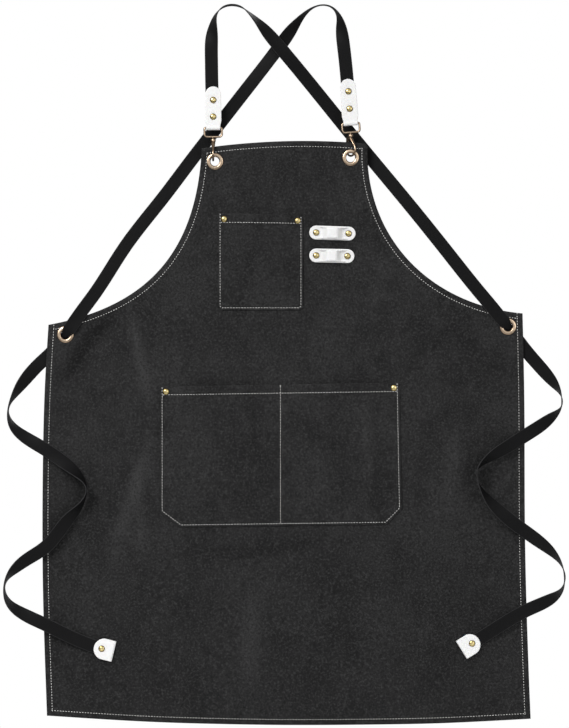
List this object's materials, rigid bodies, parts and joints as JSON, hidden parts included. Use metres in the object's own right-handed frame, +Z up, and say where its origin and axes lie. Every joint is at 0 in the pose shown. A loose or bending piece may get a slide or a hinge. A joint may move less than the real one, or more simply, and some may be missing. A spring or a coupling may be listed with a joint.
{
  "type": "work apron",
  "caption": "Cross-back canvas work apron hanging upright: pocketed panel, two webbing straps that run on as ties, leather tabs, brass eyelets and swivel snap hooks.",
  "frame": {"origin": "on the line where the two shoulder straps bend over what they hang from, level with the undersides of the bends, over the middle of the apron", "axes": "+X to the right seen from the front, +Y from the front to the back, +Z up; the panel hangs in the XZ plane"},
  "size_m": [0.8108, 0.0376, 1.0395],
  "materials": {
    "canvas": "waxed cotton canvas, charcoal black",
    "webbing": "flat woven webbing, black",
    "thread": "contrast topstitching, off-white",
    "leather": "smooth white leather",
    "antique_brass": "antique brass, satin",
    "spring_steel": "plain"
  },
  "bodies": {
    "apron": {"apron_panel": "canvas", "chest_pocket": "canvas", "chest_pocket_rivets": "antique_brass", "chest_pocket_stitching": "thread", "edge_topstitching": "thread", "left_bib_grommet": "antique_brass", "left_bib_washer": "antique_brass", "left_clasp_rivets": "antique_brass", "left_clasp_tab": "leather", "left_diagonal_webbing": "webbing", "left_lower_tie_webbing": "webbing", "left_riser_webbing": "webbing", "left_tie_rivet": "antique_brass", "left_tie_tab": "leather", "left_upper_tie_webbing": "webbing", "left_waist_grommet": "antique_brass", "left_waist_washer": "antique_brass", "lower_pocket": "canvas", "lower_pocket_rivets": "antique_brass", "lower_pocket_stitching": "thread", "lower_tool_loop": "leather", "right_bib_grommet": "antique_brass", "right_bib_washer": "antique_brass", "right_clasp_rivets": "antique_brass", "right_clasp_tab": "leather", "right_diagonal_webbing": "webbing", "right_lower_tie_webbing": "webbing", "right_riser_webbing": "webbing", "right_tie_rivet": "antique_brass", "right_tie_tab": "leather", "right_upper_tie_webbing": "webbing", "right_waist_grommet": "antique_brass", "right_waist_washer": "antique_brass", "tool_loop_rivets": "antique_brass", "upper_tool_loop": "leather"},
    "left_eye": {"left_hook_eye": "antique_brass"},
    "left_hook": {"left_hook_body": "antique_brass", "left_gate_pin": "antique_brass", "left_gate_spring": "spring_steel"},
    "left_gate": {"left_hook_gate": "antique_brass"},
    "right_eye": {"right_hook_eye": "antique_brass"},
    "right_hook": {"right_hook_body": "antique_brass", "right_gate_pin": "antique_brass", "right_gate_spring": "spring_steel"},
    "right_gate": {"right_hook_gate": "antique_brass"}
  },
  "joints": [
    {"name": "left_eye_tilt", "type": "hinge", "parent": "apron", "child": "left_eye", "pos_m": [-0.1045, 0, -0.176], "axis": [1, 0, 0], "range_deg": [-1, 1.5]},
    {"name": "left_hook_swivel", "type": "hinge", "parent": "left_eye", "child": "left_hook", "pos_m": [-0.1045, 0, -0.1944], "axis": [0, 0, 1], "range_deg": [-25, 25]},
    {"name": "left_gate_swing", "type": "hinge", "parent": "left_hook", "child": "left_gate", "pos_m": [-0.1045, 0.0046, -0.1978], "axis": [-1, 0, 0], "range_deg": [0, 14], "stiffness_Nm_per_rad": 0.02, "springref_deg": -17.19},
    {"name": "right_eye_tilt", "type": "hinge", "parent": "apron", "child": "right_eye", "pos_m": [0.0936, 0, -0.1695], "axis": [0.9976, 0, 0.0698], "range_deg": [-0.5, 1.5]},
    {"name": "right_hook_swivel", "type": "hinge", "parent": "right_eye", "child": "right_hook", "pos_m": [0.0936, 0, -0.1879], "axis": [0, 0, 1], "range_deg": [-75, 0]},
    {"name": "right_gate_swing", "type": "hinge", "parent": "right_hook", "child": "right_gate", "pos_m": [0.09064, 0.00352, -0.1913], "axis": [-0.766, -0.6428, 0], "range_deg": [0, 14], "stiffness_Nm_per_rad": 0.02, "springref_deg": -17.19}
  ]
}
